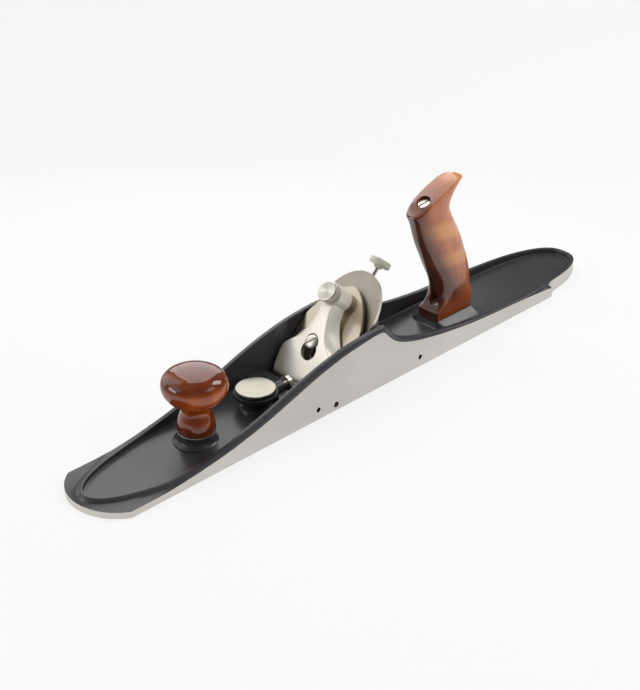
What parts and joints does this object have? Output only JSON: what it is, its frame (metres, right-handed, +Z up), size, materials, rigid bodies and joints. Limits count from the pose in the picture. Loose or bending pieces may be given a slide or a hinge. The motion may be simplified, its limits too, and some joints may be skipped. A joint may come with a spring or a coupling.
{
  "type": "jointer plane",
  "caption": "Long iron hand plane with an adjustable toe, a wooden knob and handle, and a blade bedded at 45 degrees under a lever cap.",
  "frame": {"origin": "middle of the sole, on the sole's plane", "axes": "+X towards the toe, +Y towards the left side, +Z up"},
  "size_m": [0.559, 0.073, 0.1345],
  "materials": {
    "black_enamel": "satin black enamel, bare machined metal on the sides",
    "machined_iron": "ground",
    "satin_steel": "satin",
    "screw_steel": "plain",
    "lapped_steel": "lapped",
    "blasted_metal": "bead blasted",
    "black_screw": "black oxide",
    "brass": "plain",
    "stained_wood": "gloss varnish"
  },
  "bodies": {
    "plane": {"plane_body": "black_enamel", "front_knob": "stained_wood", "knob_ring": "satin_steel", "knob_insert": "brass", "knob_stud": "screw_steel", "rear_handle": "stained_wood", "handle_rod": "screw_steel", "handle_nut": "satin_steel", "handle_toe_screw": "satin_steel", "frog": "black_enamel", "frog_bolts": "black_screw", "frog_washers": "screw_steel", "lever_cap_screw": "satin_steel"},
    "toe": {"toe_plate": "machined_iron", "toe_lock_washer": "satin_steel"},
    "toe_knob": {"toe_lock_knob": "satin_steel"},
    "toe_stop": {"toe_stop_screw": "satin_steel"},
    "lever": {"lever_cap": "blasted_metal"},
    "pad": {"clamp_pad": "satin_steel"},
    "clamp": {"clamp_screw": "satin_steel"},
    "pivot": {"adjuster_pivot": "brass"},
    "spindle": {"adjuster_spindle": "satin_steel", "adjuster_knob": "satin_steel", "spindle_collars": "brass"},
    "carriage": {"adjuster_carriage": "brass", "carriage_pin": "satin_steel"},
    "iron": {"blade": "lapped_steel", "cap_iron": "lapped_steel", "cap_iron_screw": "satin_steel"},
    "left_guide": {"left_set_screw": "black_screw"},
    "right_guide": {"right_set_screw": "black_screw"}
  },
  "joints": [
    {"name": "toe_slide", "type": "slide", "parent": "plane", "child": "toe", "axis": [1, 0, 0], "range_m": [0, 0.004]},
    {"name": "toe_lock_turn", "type": "hinge", "parent": "toe", "child": "toe_knob", "pos_m": [0.1028, 0, 0.0249], "axis": [0, 0, 1], "range_deg": [0, 90]},
    {"name": "toe_stop_turn", "type": "hinge", "parent": "plane", "child": "toe_stop", "pos_m": [0.0697, 0, 0.0172], "axis": [1, 0, 0], "range_deg": [-180, 180]},
    {"name": "lever_cap_slide", "type": "slide", "parent": "plane", "child": "lever", "axis": [-0.7071, 0, 0.7071], "range_m": [0, 0.0073]},
    {"name": "pad_lift", "type": "slide", "parent": "lever", "child": "pad", "axis": [0.7071, 0, 0.7071], "range_m": [0, 0.00125]},
    {"name": "clamp_turn", "type": "hinge", "parent": "pad", "child": "clamp", "pos_m": [0.02202, 0, 0.0799], "axis": [0.7071, 0, 0.7071], "range_deg": [0, 452]},
    {"name": "adjuster_swing", "type": "hinge", "parent": "plane", "child": "pivot", "pos_m": [-0.00874, 0, 0.05763], "axis": [0.7071, 0, 0.7071], "range_deg": [-2, 2]},
    {"name": "adjuster_turn", "type": "hinge", "parent": "pivot", "child": "spindle", "pos_m": [-0.03349, 0, 0.08238], "axis": [-0.7071, 0, 0.7071], "range_deg": [-362, 1084]},
    {"name": "carriage_feed", "type": "slide", "parent": "pivot", "child": "carriage", "axis": [-0.7071, 0, 0.7071], "range_m": [-0.0008, 0.0024]},
    {"name": "blade_pivot", "type": "hinge", "parent": "carriage", "child": "iron", "pos_m": [0.00746, 0, 0.04978], "axis": [0.7071, 0, 0.7071], "range_deg": [-2.6, 2.6]},
    {"name": "left_guide_turn", "type": "hinge", "parent": "plane", "child": "left_guide", "pos_m": [0.0514, 0.033, 0.0052], "axis": [0, 1, 0], "range_deg": [-180, 180]},
    {"name": "right_guide_turn", "type": "hinge", "parent": "plane", "child": "right_guide", "pos_m": [0.0514, -0.033, 0.0052], "axis": [0, 1, 0], "range_deg": [-180, 180]}
  ],
  "couplings": [
    {"joint": "clamp_turn", "follows": "pad_lift", "rad_per_m": 6283.2},
    {"joint": "adjuster_turn", "follows": "carriage_feed", "rad_per_m": 7854},
    {"joint": "blade_pivot", "follows": "adjuster_swing", "ratio": -1.2656}
  ]
}
